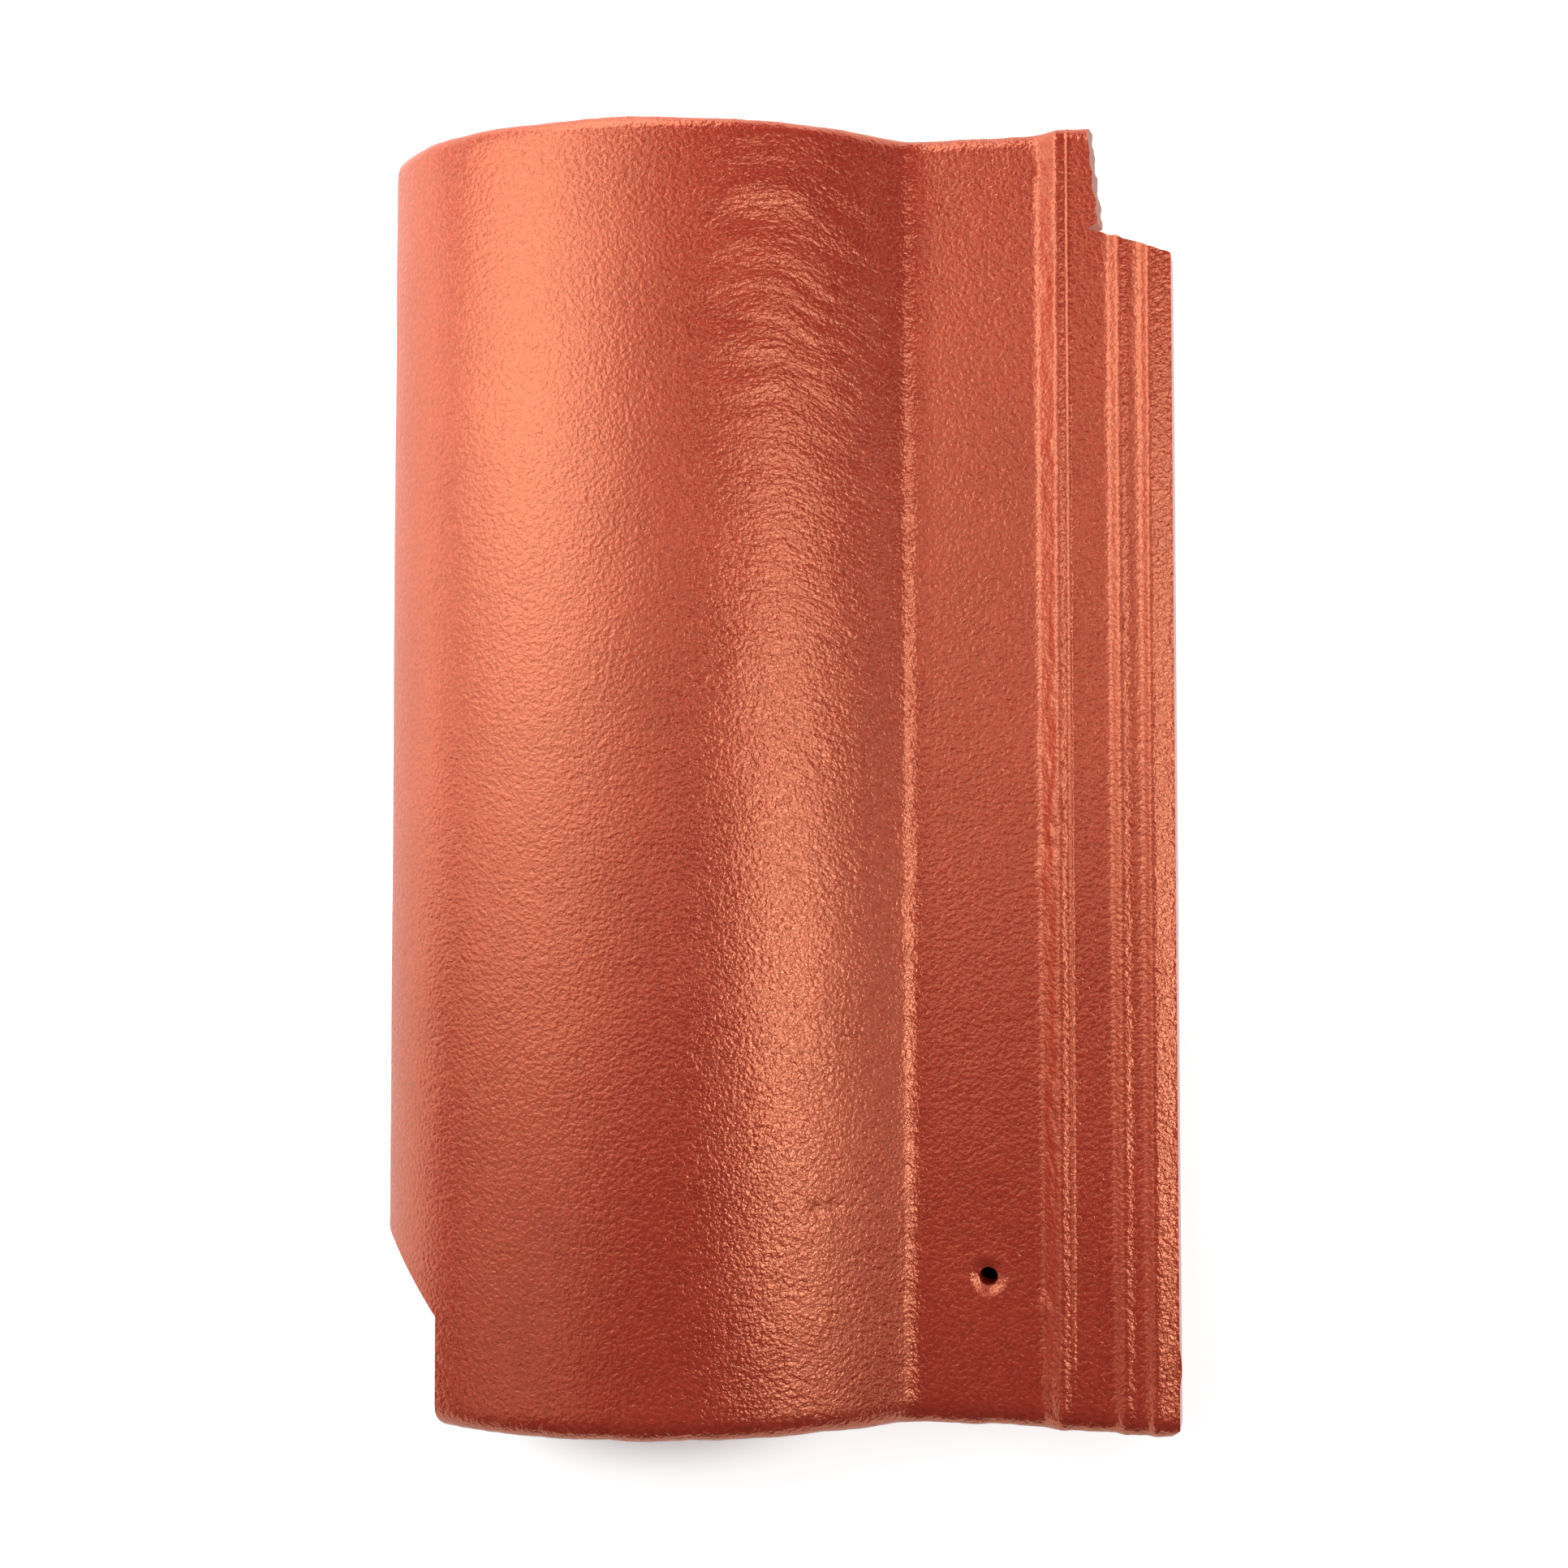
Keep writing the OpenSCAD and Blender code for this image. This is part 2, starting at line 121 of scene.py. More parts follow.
# Torn tail crop: parts of its wall and ledge, their lean, and how far they are torn.
WALL_PARTS, LEDGE_PARTS, TORN_SEED = 16, 14, 21
WALL_LEAN, LEDGE_LEAN, WALL_TORN, LEDGE_TORN = 0.2, 0.3, 0.5, 0.4
# Raw clay of the crop: largest upward part of a face's normal, and reach about the wall and the ledge.
RAW_UPRIGHT, RAW_BEFORE_WALL, RAW_PAST_WALL, RAW_PAST_LEDGE, RAW_EDGE = 0.4, 4, 9, 3, 1


def sind(a):
    return np.sin(np.radians(a))


def cosd(a):
    return np.cos(np.radians(a))


def bend(p, a, b, r):
    """Point where a curve of radius r from p has turned from slope a to slope b."""
    return np.array([p[0] + r * (sind(a) - sind(b)), p[1] + r * (cosd(b) - cosd(a))])


def below(p, a, d):
    """Point at distance d below a point p with slope a."""
    return np.array([p[0] + d * sind(a), p[1] - d * cosd(a)])


def ease(f):
    return (1 - np.cos(np.pi * f)) / 2


def parts(n):
    """Ends of n equal parts of the stretch from 0 to 1."""
    return np.arange(1, n + 1) / n


def stretches(table):
    """Ends of the parts of several stretches."""
    return np.concatenate([np.linspace(a, b, n + 1)[1:] for a, b, n in table])


def laid(points):
    """Points of the tile as it lies on the floor, in metres."""
    p = np.asarray(points, float)
    ca, sa = cosd(LEAN_ACROSS), sind(LEAN_ACROSS)
    cb, sb = cosd(LEAN_ALONG), sind(LEAN_ALONG)
    x = p[..., 0] * ca + p[..., 2] * sa
    z = p[..., 2] * ca - p[..., 0] * sa
    y = p[..., 1] * cb - z * sb
    return (np.stack([x, y, p[..., 1] * sb + z * cb], -1) - MIDDLE) * 0.001


def native(points):
    """Places in the tile's own frame, in millimetres, of points on the laid tile in metres."""
    p = points * 1000 + MIDDLE
    ca, sa = cosd(LEAN_ACROSS), sind(LEAN_ACROSS)
    cb, sb = cosd(LEAN_ALONG), sind(LEAN_ALONG)
    y = p[:, 1] * cb + p[:, 2] * sb
    up = p[:, 2] * cb - p[:, 1] * sb
    return np.stack([p[:, 0] * ca - up * sa, y, p[:, 0] * sa + up * ca], -1)


# Points where the curves of the weathered face meet.
crown_end = bend((0, 0), 0, SHOULDER_A, ROLL_R)
shoulder_centre = below(crown_end, SHOULDER_A, SHOULDER_R)
flank_end = bend((0, 0), 0, -FLANK_A, ROLL_R)
valley_end = bend(flank_end, -FLANK_A, PAN_A, -VALLEY_R)
pan_way = np.array([cosd(PAN_A), sind(PAN_A)])
pan_end = valley_end + PAN_W * pan_way
step_1_top = pan_end + [STEP_1_RUN, STEP_1_RISE]
channel_1_start = step_1_top + [STEP_1_RUN, -CHANNEL_1_FALL]
channel_1_end = channel_1_start + [CHANNEL_1_W, 0]
step_2_top = channel_1_end + [STEP_2_RUN, STEP_2_RISE]
channel_2_end = step_2_top + [CHANNEL_2_W, 0]
step_3_top = channel_2_end + [STEP_3_RUN, STEP_3_RISE]
lip_end = step_3_top + [LIP_W, -LIP_FALL]
lock_floor = channel_1_end[1] - LOCK_THICK
lip_foot = np.array([lip_end[0] + LIP_DRAFT, lock_floor])
inner_r = SHOULDER_R - THICK
foot_floor = pan_end[1] - SIDE_GAP * sind(PAN_A) + SEAT_GAP
edge_a = math.degrees(math.acos((foot_floor + EDGE_H - shoulder_centre[1]) / (SHOULDER_R - NOSE_R)))
foot_a = math.degrees(math.acos((foot_floor - shoulder_centre[1]) / inner_r))
shoulder_end = bend(crown_end, SHOULDER_A, edge_a, SHOULDER_R)
nose_end = bend(shoulder_end, edge_a, 90, NOSE_R)
foot_outer = np.array([nose_end[0], foot_floor])
foot_inner = np.array([shoulder_centre[0] - inner_r * sind(foot_a), foot_floor])
cover_width = pan_end[0] - SIDE_GAP - foot_inner[0]
pan_root = below(pan_end, PAN_A, THICK)
hole_centre = valley_end + HOLE_FROM_VALLEY * pan_way
hole_y = HEAD + HOLE_FROM_HEAD
nib_face = HEAD + NIB_FROM_HEAD
nib_1_x = valley_end[0] + NIB_FROM_VALLEY
nib_2_x = nib_1_x + NIB_SPACING
pan_floor = valley_end[1] - THICK
nib_foot = pan_floor - NIB_DEPTH
rib_1_x = channel_1_start[0] + CHANNEL_1_W / 2 - cover_width
rib_2_x = step_2_top[0] + CHANNEL_2_W / 2 - cover_width
crop_side = lip_foot[0] - TAIL_CROP_W


def lock_underside(x):
    f = (x - pan_root[0]) / (channel_1_start[0] - pan_root[0])
    return pan_root[1] + (lock_floor - pan_root[1]) * ease(min(1.0, max(0.0, f)))


def lock_points():
    """Points of the weathered face across the side lock."""
    out = [pan_end + [STEP_1_RUN * f, STEP_1_RISE * ease(f)] for f in parts(STEP_1_PARTS)]
    for f in stretches(STEP_1_FALL_STRETCHES):
        out.append(step_1_top + [STEP_1_RUN * f, -CHANNEL_1_FALL * ease(f)])
    for f in stretches(CHANNEL_1_STRETCHES):
        out.append(channel_1_start + [CHANNEL_1_W * f, 0])
    for f in parts(STEP_2_PARTS):
        out.append(channel_1_end + [STEP_2_RUN * f, STEP_2_RISE * ease(f)])
    for f in parts(CHANNEL_2_PARTS):
        out.append(step_2_top + [CHANNEL_2_W * f, -CHANNEL_2_SAG * np.sin(np.pi * f)])
    for f in parts(STEP_3_PARTS):
        out.append(channel_2_end + [STEP_3_RUN * f, STEP_3_RISE * ease(f)])
    for f in parts(LIP_PARTS):
        out.append(step_3_top + [LIP_W * f, -LIP_FALL * f])
    return out


def stations():
    """Stations across the tile: weathered point, slope and underside point, finely spaced."""
    out = [(nose_end, 90.0, foot_outer)]
    for f in parts(NOSE_PARTS):
        a = 90 + (edge_a - 90) * f
        out.append((bend(nose_end, 90, a, NOSE_R), a, foot_outer + (foot_inner - foot_outer) * f))
    for f in parts(SHOULDER_PARTS):
        a = edge_a + (SHOULDER_A - edge_a) * f
        b = foot_a + (SHOULDER_A - foot_a) * f
        out.append((bend(shoulder_end, edge_a, a, SHOULDER_R), a, bend(foot_inner, foot_a, b, inner_r)))
    for i in range(1, CROWN_PARTS + 1):
        a = SHOULDER_A - (FLANK_A + SHOULDER_A) * i / CROWN_PARTS
        p = bend(crown_end, SHOULDER_A, a, ROLL_R)
        out.append((p, a, below(p, a, THICK)))
    for i in range(1, VALLEY_PARTS + 1):
        a = -FLANK_A + (PAN_A + FLANK_A) * i / VALLEY_PARTS
        p = bend(flank_end, -FLANK_A, a, -VALLEY_R)
        out.append((p, a, below(p, a, THICK)))
    for d in stretches(PAN_STRETCHES):
        p = valley_end + d * pan_way
        out.append((p, PAN_A, below(p, PAN_A, THICK)))
    for p in lock_points()[:-1]:
        out.append((p, PAN_A, np.array([p[0], lock_underside(p[0])])))
    out.append((lip_end, PAN_A, lip_foot))
    return out


def rows():
    """Places along the tile from tail to head, and the depth of the rounded edge there."""
    out = []
    for k in range(0, TAIL_PARTS + 1):
        a = math.radians(90 * k / TAIL_PARTS)
        out.append((TAIL - TAIL_RUN * (1 - math.cos(a)), TAIL_DROP * (1 - math.sin(a))))
    ends = (TAIL - TAIL_RUN, hole_y + HOLE_REACH, hole_y - HOLE_REACH, HEAD + HEAD_RUN)
    for a, b, step in zip(ends, ends[1:], (ROW_STEP, HOLE_ROW_STEP, ROW_STEP)):
        n = int(round((a - b) / step))
        out += [(a + (b - a) * i / n, 0.0) for i in range(1, n + 1)]
    for k in range(HEAD_PARTS - 1, -1, -1):
        a = math.radians(90 * k / HEAD_PARTS)
        out.append((HEAD + HEAD_RUN * (1 - math.cos(a)), HEAD_DROP * (1 - math.sin(a))))
    return out


class Grain:
    """Repeatable gradient noise over a plane, about -1 to 1."""

    SIZE, GAIN = 512, 1.5

    def __init__(self, seed):
        rng = np.random.default_rng(seed)
        self.table = rng.permutation(self.SIZE)
        turn = rng.uniform(0, 2 * np.pi, self.SIZE)
        self.gx, self.gy = np.cos(turn), np.sin(turn)

    @staticmethod
    def fade(f):
        return f * f * f * (f * (f * 6 - 15) + 10)

    def __call__(self, x, y):
        x, y = np.asarray(x, float), np.asarray(y, float)
        xi, yi = np.floor(x).astype(int), np.floor(y).astype(int)
        fx, fy = x - xi, y - yi
        wx, wy = self.fade(fx), self.fade(fy)

        def corner(i, j):
            k = self.table[(self.table[(xi + i) % self.SIZE] + yi + j) % self.SIZE]
            return self.gx[k] * (fx - i) + self.gy[k] * (fy - j)

        low = corner(0, 0) * (1 - wx) + corner(1, 0) * wx
        high = corner(0, 1) * (1 - wx) + corner(1, 1) * wx
        return (low * (1 - wy) + high * wy) * self.GAIN


# Noises of the relief. In their calls x and y are divided by the size of a cell in millimetres,
# and a number added to them picks another stretch of the same noise.
broad, middling, small, drag, torn = Grain(11), Grain(12), Grain(13), Grain(14), Grain(15)


def smooth(a, b, x):
    t = np.clip((x - a) / (b - a), 0, 1)
    return t * t * (3 - 2 * t)


def swell(x, centre, width):
    """A ridge of height 1 along the tile."""
    return np.exp(-(((x - centre) / width) ** 2))


def bump_of(x, y, cx, cy, rx, ry):
    """A round swelling of height 1 at a place."""
    return np.exp(-((x - cx) / rx) ** 2 - ((y - cy) / ry) ** 2)


def worn_lock():
    """Height of the worn, rounded lock above the plain section, at places across it."""
    st = stations()
    pitch, cells = 0.05, 60
    x = np.arange(pan_end[0] - 2 * WEAR_STARTS, lip_end[0], pitch)
    plain = np.interp(x, [s[0][0] for s in st], [s[0][1] for s in st])
    foot, crest = pan_end[0] - WEAR_FOOT, step_1_top[0] + WEAR_CREST
    ramp = np.interp(x, [foot, crest], [0.0, STEP_1_RISE - LOCK_WEAR]) + pan_end[1]
    worn = np.where(x < foot, plain, np.where(x < crest, ramp, plain - LOCK_WEAR))
    reach = np.arange(-cells, cells + 1)
    kernel = np.exp(-((reach * pitch / WEAR_BLUR) ** 2) / 2)
    padded = np.concatenate([np.full(cells, worn[0]), worn, np.full(cells, worn[-1])])
    high = np.convolve(padded, kernel / kernel.sum(), "valid") - plain
    high[x < pan_end[0] - WEAR_STARTS] = 0.0
    return x, high


WORN_X, WORN_H = worn_lock()
# Bow of the drag lines towards the tail, at places across the tile.
DRAG_BOW = (
    (nose_end[0], -6),
    (-30, 0),
    (0, -6),
    (40, 8),
    (60, 10),
    (95, -6),
    (valley_end[0], -6),
    (step_1_top[0], 18),
    (channel_1_start[0], 13),
    (step_2_top[0], 22),
    (channel_2_end[0], 15),
    (lip_end[0], 19),
)


def drag_line(x, y):
    """Place along the drag of the mould, bowed over the flank and at the steps of the lock."""
    bow = np.interp(x, [across for across, _ in DRAG_BOW], [ahead for _, ahead in DRAG_BOW])
    return y - bow + DRAG_SWAY * middling(x / 21 + 40, y / 26)


def from_ends(y):
    return smooth(0, END_FADE, np.minimum(TAIL - y, y - HEAD))


def on_flank(x):
    return smooth(*FLANK_STARTS, x) * (1 - smooth(*FLANK_ENDS, x))


def drag_gain(x, y):
    """How strongly the drag of the mould shows, about 0 to 1."""
    in_lock = smooth(pan_end[0] - BEFORE_LOCK, pan_end[0] + INTO_LOCK, x)
    in_pan = smooth(*PAN_STARTS, x) * (1 - in_lock)
    grown = 0.3 + 0.7 * smooth(*DRAG_GROWS, y)
    gain = DRAG_LEAST + DRAG_FLANK * on_flank(x) * grown + DRAG_PAN * in_pan + DRAG_LOCK * in_lock
    return gain * (0.75 + 0.7 * broad(x / 30 + 7, y / 40 + 3)) * (0.2 + 0.8 * from_ends(y))


def relief(x, y):
    """Height of the skin above the plain section, in millimetres."""
    h = BROAD_H * broad(x / 55, y / 80) + MIDDLING_H * middling(x / 17, y / 23)
    along = drag_line(x, y)
    h = h + DRAG_H * drag_gain(x, y) * drag(x / 8.0, along / 3.4)
    # deeper drag wrinkles on the flank near the tail
    wrinkle = drag(x / 26 + 31, along / 6.5 + 17)
    h = h + WRINKLE_H * on_flank(x) * smooth(*WRINKLES_GROW, y) * from_ends(y) * wrinkle
    # soft fill of the crease beside the pan, in scallops
    crease = (flank_end[0] + valley_end[0]) / 2
    h = h + swell(x, crease, CREASE_W) * (CREASE_H + SCALLOP_H * torn(x / 12 + 20, y / 5.5))
    # worn lock with a torn first step
    h = h + np.interp(x, WORN_X, WORN_H)
    lumps = torn(x / 3.2, y / 6.5) + 0.6 * torn(x / 2.2 + 30, y / 3.1)
    tear = TEAR_H * swell(x, pan_end[0] + TEAR_FROM_PAN, TEAR_W) * lumps
    h = h + tear * (0.65 + 0.6 * broad(x / 40, y / 33 + 5))
    for cx, cy, rx, ry, high in MARKS:
        h = h + high * bump_of(x, y, cx, cy, rx, ry)
    # thin raised line where the first channel starts
    line = swell(x, channel_1_start[0] + LINE_FROM_STEP, LINE_W)
    h = h + line * (LINE_H + LINE_VARIES * small(x / 3, y / 9)) * smooth(*LINE_GROWS, y)
    # sink around the nail hole, with a raised rim
    r = np.hypot(x - hole_centre[0], (y - hole_y))
    rim = SINK_D / 2
    h = h - SINK_DEPTH * (1 - smooth(HOLE_D / 2 - SINK_LIP, rim, r))
    return h + RIM_H * np.exp(-(((r - rim - RIM_FROM_SINK) / RIM_W) ** 2))


def shell():
    """Mesh of the sheet: a fine weathered face, a coarser underside and closed edges."""
    st, rw = stations(), rows()
    px = np.array([s[0][0] for s in st])
    pz = np.array([s[0][1] for s in st])
    slope = np.array([s[1] for s in st])
    qx = np.array([s[2][0] for s in st])
    qz = np.array([s[2][1] for s in st])
    y = np.array([r[0] for r in rw])
    drop = np.array([r[1] for r in rw])
    n, m = len(st), len(rw)
    X, Y = np.meshgrid(px, y)
    D = drop[:, None] - relief(X, Y)
    top = np.stack([X + D * sind(slope), Y, pz[None, :] - D * cosd(slope)], -1)
    # burr on the edge of the lip, and ragged ends
    top[:, -1, 0] += BURR_H * swell(y, BURR_Y, BURR_W)
    end = np.maximum(0, 1 - np.minimum(TAIL - y, y - HEAD) / RAGGED_REACH)[:, None]
    top[..., 1] += end * (RAGGED_H * middling(X / 14, Y / 60 + 9) + RAGGED_FINE_H * small(X / 3.5, Y / 60))
    cols = sorted(set(range(0, n, UNDERSIDE_EVERY)) | {n - 1})
    steps = sorted(set(range(0, m, UNDERSIDE_EVERY)) | {m - 1})
    low = np.array([[[qx[i], y[j], qz[i]] for i in cols] for j in steps])
    verts = np.concatenate([top.reshape(-1, 3), low.reshape(-1, 3)])
    base = n * m
    k = len(cols)
    faces = []
    for j in range(m - 1):
        for i in range(n - 1):
            a = j * n + i
            faces.append((a, a + n, a + n + 1, a + 1))
    for j in range(len(steps) - 1):
        for i in range(k - 1):
            a = base + j * k + i
            faces.append((a, a + 1, a + k + 1, a + k))
    for j in range(len(steps) - 1):
        a, b = base + j * k, base + (j + 1) * k
        left = [r * n for r in range(steps[j], steps[j + 1] + 1)]
        faces.append(tuple([a, b] + left[::-1]))
        right = [r * n + n - 1 for r in range(steps[j], steps[j + 1] + 1)]
        faces.append(tuple([b + k - 1, a + k - 1] + right))
    last = base + (len(steps) - 1) * k
    for i in range(k - 1):
        line = list(range(cols[i], cols[i + 1] + 1))
        faces.append(tuple([base + i + 1, base + i] + line))
        line = [(m - 1) * n + c for c in line]
        faces.append(tuple([last + i, last + i + 1] + line[::-1]))
    return verts, faces


def new_mesh(name, verts, faces):
    mesh = bpy.data.meshes.new(name)
    mesh.from_pydata([tuple(v) for v in laid(verts)], [], [tuple(f) for f in faces])
    mesh.update()
    return mesh


def prism_faces(n):
    """Faces of a closed prism with n points at each end."""
    faces = [tuple(range(n))[::-1], tuple(range(n, 2 * n))]
    return faces + [(i, (i + 1) % n, n + (i + 1) % n, n + i) for i in range(n)]


def prism(outline, axis_points):
    """Closed prism: the outline's points at each of two places."""
    verts = [q for place in axis_points for q in [place(p) for p in outline]]
    return np.array(verts, float), prism_faces(len(outline))


def solid(name, verts, faces, bevel=0.0, segments=2):
    """Object from points in the tile's own frame, with its edges rounded."""
    mesh = new_mesh(name, verts, faces)
    bm = bmesh.new()
    bm.from_mesh(mesh)
    bmesh.ops.recalc_face_normals(bm, faces=bm.faces)
    if bevel:
        bmesh.ops.bevel(
            bm,
            geom=list(bm.edges),
            offset=bevel * 0.001,
            segments=segments,
            profile=0.5,
            affect="EDGES",
            clamp_overlap=True,
        )
    bm.to_mesh(mesh)
    bm.free()
    ob = bpy.data.objects.new(name, mesh)
    bpy.context.scene.collection.objects.link(ob)
    return ob


def joined(name, objects):
    """One object from several closed ones that stand clear of each other."""
    bm = bmesh.new()
    for o in objects:
        bm.from_mesh(o.data)
    mesh = bpy.data.meshes.new(name)
    bm.to_mesh(mesh)
    bm.free()
    for o in objects:
        bpy.data.objects.remove(o)
    ob = bpy.data.objects.new(name, mesh)
    bpy.context.scene.collection.objects.link(ob)
    return ob


def combine(target, other, operation):
    mod = target.modifiers.new(operation.lower(), "BOOLEAN")
    mod.operation = operation
    mod.solver = "EXACT"
    mod.object = other
    graph = bpy.context.evaluated_depsgraph_get()
    mesh = bpy.data.meshes.new_from_object(target.evaluated_get(graph), depsgraph=graph)
    target.modifiers.clear()
    old = target.data
    target.data = mesh
    bpy.data.meshes.remove(old)
    bpy.data.objects.remove(other)


def underside_height(x):
    if x < below(crown_end, SHOULDER_A, THICK)[0]:
        return shoulder_centre[1] + math.sqrt(inner_r**2 - (x - shoulder_centre[0]) ** 2)
    return math.sqrt((ROLL_R - THICK) ** 2 - x**2) - ROLL_R


def rib(name, x, foot):
    """Cover rib under the roll."""
    top = underside_height(x) + ROOT
    h, w = RIB_W / 2, RIB_W / 2 + RIB_DRAFT
    outline = [(x - h, foot), (x + h, foot), (x + w, top), (x - w, top)]
    y0, y1 = TAIL - RIB_END, HEAD + RIB_END
    ends = [lambda p: (p[0], y0, p[1]), lambda p: (p[0], y1, p[1])]
    return solid(name, *prism(outline, ends), bevel=RIB_ROUND)


def bar_line(d):
    """Line at depth d under the pan, round the valley and along the roll."""
    start = pan_end - BAR_END_GAP * pan_way
    valley, flank = below(valley_end, PAN_A, d), below(flank_end, -FLANK_A, d)
    out = [below(start, PAN_A, d), valley]
    for i in range(1, BAR_VALLEY_PARTS + 1):
        a = PAN_A - (PAN_A + FLANK_A) * i / BAR_VALLEY_PARTS
        out.append(bend(valley, PAN_A, a, -(VALLEY_R + d)))
    for i in range(1, BAR_ROLL_PARTS + 1):
        a = -FLANK_A + (BAR_END_A + FLANK_A) * i / BAR_ROLL_PARTS
        out.append(bend(flank, -FLANK_A, a, ROLL_R - d))
    return out


def bar(name, y):
    """Weather bar with rounded edges, as a loft of one profile along its line."""
    rounded = []
    for turn in (0, 30, 60, 90):
        t = math.radians(turn)
        depth = THICK + BAR_DEPTH - BAR_ROUND * (1 - math.sin(t))
        rounded.append((BAR_ROUND * (1 - math.cos(t)), depth))
    profile = [(0.0, THICK - ROOT)]
    profile += [(-inset, depth) for inset, depth in rounded]
    profile += [(-BAR_L + inset, depth) for inset, depth in rounded[::-1]]
    profile += [(-BAR_L, THICK - ROOT)]
    lines = [bar_line(d) for _, d in profile]
    n, m = len(profile), len(lines[0])
    verts = [(lines[k][i][0], y + profile[k][0], lines[k][i][1]) for i in range(m) for k in range(n)]
    faces = []
    for i in range(m - 1):
        here, there = i * n, (i + 1) * n
        faces += [(here + k, here + (k + 1) % n, there + (k + 1) % n, there + k) for k in range(n)]
    faces += [tuple(range(n)), tuple(range((m - 1) * n, m * n))[::-1]]
    return solid(name, np.array(verts), faces)


def nib(name, x, floor):
    """Hanging nib under the head."""
    outline = [
        (nib_face, floor + ROOT),
        (nib_face, nib_foot),
        (nib_face - NIB_L + NIB_DRAFT, nib_foot),
        (nib_face - NIB_L, floor),
        (nib_face - NIB_L, floor + ROOT),
    ]
    x0, x1 = x - NIB_W / 2, x + NIB_W / 2
    sides = [lambda p: (x0, p[0], p[1]), lambda p: (x1, p[0], p[1])]
    return solid(name, *prism(outline, sides), bevel=NIB_ROUND, segments=3)


def cutter(name, outline):
    """Upright cutter through the whole tile."""
    lo, hi = nib_foot - CUTTER_PAST_NIB, CUTTER_TOP
    return solid(name, *prism(outline, [lambda p: (p[0], p[1], lo), lambda p: (p[0], p[1], hi)]))


def head_crop_outline():
    side = nose_end[0] + HEAD_CROP_W
    corner = (side + HEAD_CORNER_R, HEAD + HEAD_CORNER_R)
    run_out = HEAD_CROP_SLANT / HEAD_CROP_W
    out = [(side, HEAD + HEAD_CROP_L)]
    for i in range(0, CORNER_PARTS + 1):
        a = math.radians(180 + 90 * i / CORNER_PARTS)
        out.append((corner[0] + HEAD_CORNER_R * math.cos(a), corner[1] + HEAD_CORNER_R * math.sin(a)))
    out += [(corner[0], HEAD - ROOT), (nose_end[0] - ROOT, HEAD - ROOT)]
    out += [(nose_end[0] - ROOT, HEAD + HEAD_CROP_L + HEAD_CROP_SLANT + ROOT * run_out)]
    return out


def tail_crop():
    """Cutter of the tail crop, with a torn and leaning wall."""
    inner = np.array([crop_side + TAIL_CROP_LEAN, TAIL - TAIL_CROP_L])
    run_out = TAIL_CROP_SLANT / (lip_foot[0] - inner[0])
    far = np.array([lip_foot[0] + ROOT, inner[1] - TAIL_CROP_SLANT - ROOT * run_out])
    tail = np.array([crop_side - ROOT * TAIL_CROP_LEAN / TAIL_CROP_L, TAIL + ROOT])
    rng = np.random.default_rng(TORN_SEED)
    level = channel_1_end[1]
    # the inner corner itself is left out of both, which cuts it off by a little
    wall = [tail + (inner - tail) * f for f in np.linspace(0, 1, WALL_PARTS + 1)[:-1]]
    ledge = [inner + (far - inner) * f for f in np.linspace(0, 1, LEDGE_PARTS + 1)[1:]]
    verts = []
    for z in (nib_foot - CUTTER_PAST_NIB, CUTTER_TOP):
        lean = WALL_LEAN * (level - z)
        for k, q in enumerate(wall):
            tear = rng.uniform(-WALL_TORN, WALL_TORN) * (0 < k < WALL_PARTS - 1)
            verts.append((q[0] + lean + tear, q[1] + LEDGE_LEAN * lean * (k / WALL_PARTS), z))
        for q in ledge:
            verts.append((q[0], q[1] + LEDGE_LEAN * lean + rng.uniform(-LEDGE_TORN, LEDGE_TORN), z))
        verts.append((lip_foot[0] + ROOT, TAIL + ROOT, z))
    return solid("tail_crop", np.array(verts), prism_faces(len(verts) // 2))


def chip(name, x, y, outline):
    """Cutter of a chipped corner."""
    return cutter(name, [(x + across, y + ahead) for across, ahead in outline])


def hole_cutter():
    """Cutter of the nail hole, square to the pan."""
    n = HOLE_PARTS
    verts = []
    for d in (-ROOT, THICK + ROOT):
        p = below(hole_centre, PAN_A, d)
        for i in range(n):
            a = 2 * math.pi * i / n
            u = HOLE_D / 2 * math.cos(a)
            verts.append((p[0] + u * pan_way[0], hole_y + HOLE_D / 2 * math.sin(a), p[1] + u * pan_way[1]))
    faces = [tuple(range(n)), tuple(range(n, 2 * n))[::-1]]
    faces += [(i, n + i, n + (i + 1) % n, (i + 1) % n) for i in range(n)]
    return solid("hole_cutter", np.array(verts), faces)


tile = solid("tile", *shell())
added = joined(
    "added",
    [
        rib("rib_1", rib_1_x, channel_1_end[1] + RIB_GAP),
        rib("rib_2", rib_2_x, step_2_top[1] - CHANNEL_2_SAG + RIB_GAP),
        bar("bar_1", TAIL - BAR_FROM_TAIL),
        bar("bar_2", TAIL - BAR_FROM_TAIL - BAR_SPACING),
        nib("nib_1", nib_1_x, pan_floor),
        nib("nib_2", nib_2_x, lock_floor),
    ],
)
combine(tile, added, "UNION")
cuts = joined(
    "cuts",
    [
        cutter("head_crop", head_crop_outline()),
        tail_crop(),
        hole_cutter(),
        chip("tail_left_chip", nose_end[0], TAIL, TAIL_LEFT_CHIP),
        chip("head_right_chip", lip_end[0], HEAD, HEAD_RIGHT_CHIP),
    ],
)
combine(tile, cuts, "DIFFERENCE")

bm = bmesh.new()
bm.from_mesh(tile.data)
for f in bm.faces:
    f.smooth = True
limit = math.radians(SMOOTH_FOLD)
for e in bm.edges:
    e.smooth = len(e.link_faces) == 2 and e.calc_face_angle(0.0) < limit
bm.to_mesh(tile.data)
bm.free()

